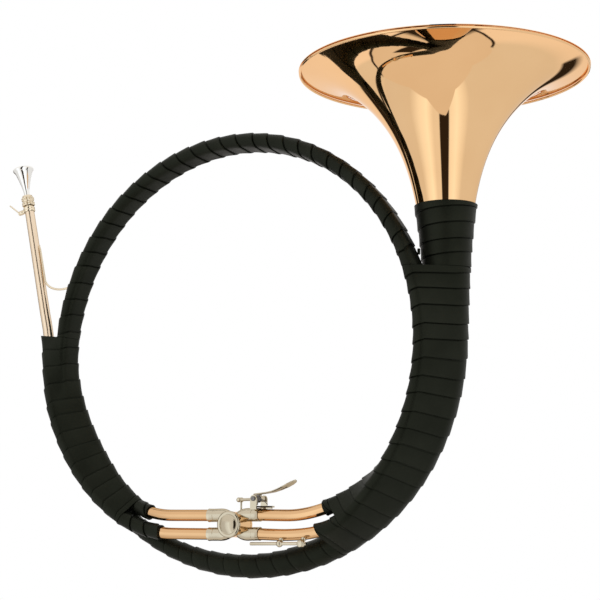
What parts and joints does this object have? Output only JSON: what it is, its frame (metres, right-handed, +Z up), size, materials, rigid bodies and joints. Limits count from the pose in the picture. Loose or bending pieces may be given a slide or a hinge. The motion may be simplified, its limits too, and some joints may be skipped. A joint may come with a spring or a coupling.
{
  "type": "hunting horn",
  "caption": "Coiled brass hunting horn wrapped in black leather, with a rotary valve worked by a thumb lever, a pull-out tuning slide and mouthpiece.",
  "frame": {"origin": "outer underside of the ring's top, on the circle's centre line, where the horn hangs over a peg", "axes": "+Z up with the bell's mouth facing up, +X from the mouthpiece to the bell in the ring's plane, +Y from the valve side to the back"},
  "size_m": [0.661, 0.284, 0.4925],
  "materials": {
    "gold_brass": "polished, lacquered",
    "black_leather": "smooth",
    "silver_plate": "polished",
    "nickel_silver": "polished",
    "spring_steel": "blued",
    "bumper_cork": "matt"
  },
  "bodies": {
    "horn_body": {"lower_right_branch": "gold_brass", "first_turn_tube": "gold_brass", "cone_tube": "gold_brass", "upper_right_branch": "gold_brass", "back_turn_tube": "gold_brass", "upper_left_branch": "gold_brass", "leadpipe": "gold_brass", "lower_left_branch": "gold_brass", "bell": "gold_brass", "bell_rim_wire": "gold_brass", "valve_casing": "gold_brass", "right_wrap": "black_leather", "ring_wrap": "black_leather", "left_wrap": "black_leather", "bottom_wrap": "black_leather", "tail_wrap": "black_leather", "lower_right_wrap": "black_leather", "upper_right_sleeve": "black_leather", "upper_left_sleeve": "black_leather", "lower_left_sleeve": "black_leather", "leather_thong": "black_leather", "slide_clamp_ring": "nickel_silver", "pipe_brace": "nickel_silver", "bearing_plate": "nickel_silver", "valve_cap": "nickel_silver", "upper_right_knuckle": "nickel_silver", "lower_right_knuckle": "nickel_silver", "upper_left_knuckle": "nickel_silver", "lower_left_knuckle": "nickel_silver", "lever_saddle": "nickel_silver", "left_ball_post": "nickel_silver", "right_ball_post": "nickel_silver", "hinge_rod": "spring_steel", "return_spring": "spring_steel", "rest_bumper": "bumper_cork", "pressed_bumper": "bumper_cork"},
    "tuning_slide": {"tuning_slide": "nickel_silver"},
    "mouthpiece": {"mouthpiece": "silver_plate"},
    "clamp_thumb_screw": {"clamp_thumb_screw": "nickel_silver"},
    "thumb_lever": {"thumb_lever": "nickel_silver"},
    "link_rod": {"link_rod": "nickel_silver"},
    "valve_rotor": {"valve_rotor": "nickel_silver", "stop_arm": "nickel_silver", "stop_screw": "spring_steel"},
    "sliding_rod": {"sliding_rod": "nickel_silver"},
    "rod_clamp_screw": {"rod_clamp_screw": "nickel_silver"}
  },
  "joints": [
    {"name": "tuning_pull", "type": "slide", "parent": "horn_body", "child": "tuning_slide", "axis": [-0.2168, 0, 0.9762], "range_m": [0, 0.025]},
    {"name": "mouthpiece_pull", "type": "slide", "parent": "tuning_slide", "child": "mouthpiece", "axis": [-0.2168, 0, 0.9762], "range_m": [0, 0.03]},
    {"name": "clamp_screw_turn", "type": "hinge", "parent": "horn_body", "child": "clamp_thumb_screw", "pos_m": [-0.2658, -0.0064, -0.03251], "axis": [-0.9762, 0, -0.2168], "range_deg": [0, 150]},
    {"name": "lever_press", "type": "hinge", "parent": "horn_body", "child": "thumb_lever", "pos_m": [0.034, -0.0039, -0.35535], "axis": [0, 1, 0], "range_deg": [0, 18.56], "stiffness_Nm_per_rad": 0.06, "springref_deg": -17.19, "deforming": ["return_spring"]},
    {"name": "link_swing", "type": "hinge", "parent": "thumb_lever", "child": "link_rod", "pos_m": [0.0007, 0.0161, -0.35535], "axis": [0, 1, 0], "range_deg": [-18.56, 0]},
    {"name": "rotor_turn", "type": "hinge", "parent": "horn_body", "child": "valve_rotor", "pos_m": [0.006, -0.0041, -0.38015], "axis": [0, 1, 0], "range_deg": [0, 90]},
    {"name": "rod_slide", "type": "slide", "parent": "horn_body", "child": "sliding_rod", "axis": [1, 0, 0], "range_m": [0, 0.025]},
    {"name": "rod_screw_turn", "type": "hinge", "parent": "horn_body", "child": "rod_clamp_screw", "pos_m": [0.0874, -0.0114, -0.39905], "axis": [0, 1, 0], "range_deg": [0, 180]}
  ],
  "couplings": [
    {"joint": "link_swing", "follows": "lever_press", "ratio": -1},
    {"joint": "rotor_turn", "follows": "lever_press", "ratio": 4.8491}
  ]
}
